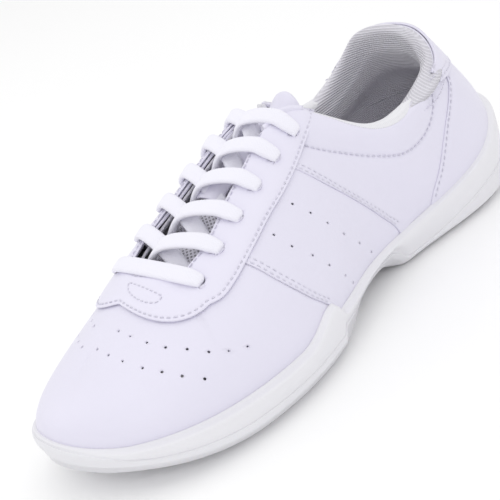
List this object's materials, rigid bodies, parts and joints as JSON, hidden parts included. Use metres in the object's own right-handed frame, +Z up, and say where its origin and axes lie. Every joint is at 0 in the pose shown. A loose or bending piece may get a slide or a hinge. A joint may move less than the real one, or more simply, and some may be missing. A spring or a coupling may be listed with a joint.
{
  "type": "cheer shoe",
  "caption": "Low white cheer shoe for the left foot: leather upper with laced eyestay, padded tongue and collar, on a flexible rubber cup sole.",
  "frame": {"origin": "on the ground, under the middle of the shoe's length and width", "axes": "+Z up, +Y toward the heel, +X to the outer side of the left foot; the toe points along -Y"},
  "size_m": [0.0952, 0.2617, 0.0907],
  "materials": {
    "upper_leather": "smooth white coated leather, fine grain, soft sheen",
    "tongue_leather": "smooth white coated leather, soft sheen",
    "outsole_rubber": "matte white moulded rubber",
    "midsole_foam": "satin white moulded foam rubber",
    "lining_textile": "white ribbed knit",
    "tongue_textile": "white open mesh",
    "lace_textile": "white flat tubular braid",
    "lace_tip_plastic": "clear-white film",
    "padding_foam": "open-cell foam",
    "insole_foam": "textile-covered foam",
    "insole_board": "pressed fibre board"
  },
  "bodies": {
    "rearfoot": {"outsole_rear": "outsole_rubber", "heel_insert": "outsole_rubber", "midsole_rear": "midsole_foam", "insole_board_rear": "insole_board", "insole_rear": "insole_foam", "vamp_flex": "upper_leather", "vamp_rear": "upper_leather", "mid_panel_lateral": "upper_leather", "mid_panel_medial": "upper_leather", "quarter_lateral": "upper_leather", "quarter_medial": "upper_leather", "vamp_lining_flex": "lining_textile", "eyestay": "upper_leather", "heel_overlay": "upper_leather", "heel_patch": "upper_leather", "heel_stiffener": "insole_board", "collar_foam": "padding_foam", "quarter_lining": "lining_textile", "collar_lining": "lining_textile", "topline_binding": "lining_textile", "tongue_face": "tongue_leather", "tongue_foam": "padding_foam", "tongue_lining": "tongue_textile", "lace_keeper": "upper_leather", "lace": "lace_textile", "lace_tip_lateral": "lace_tip_plastic", "lace_tip_medial": "lace_tip_plastic"},
    "forefoot": {"outsole_front": "outsole_rubber", "midsole_front": "midsole_foam", "insole_board_front": "insole_board", "insole_front": "insole_foam", "vamp_toe": "upper_leather", "toe_puff": "insole_board", "vamp_lining_toe": "lining_textile"},
    "tongue_flap": {"tongue_flap_face": "tongue_leather", "tongue_flap_foam": "padding_foam", "tongue_flap_lining": "tongue_textile"}
  },
  "joints": [
    {"name": "toe_flex", "type": "hinge", "parent": "rearfoot", "child": "forefoot", "pos_m": [0, -0.063, 0.0183], "axis": [-1, 0, 0], "range_deg": [0, 30], "stiffness_Nm_per_rad": 1.5, "deforming": ["vamp_flex", "vamp_lining_flex"]},
    {"name": "tongue_fold", "type": "hinge", "parent": "rearfoot", "child": "tongue_flap", "pos_m": [0, 0.015, 0.0798], "axis": [1, 0, 0], "range_deg": [0, 20], "stiffness_Nm_per_rad": 0.02}
  ]
}
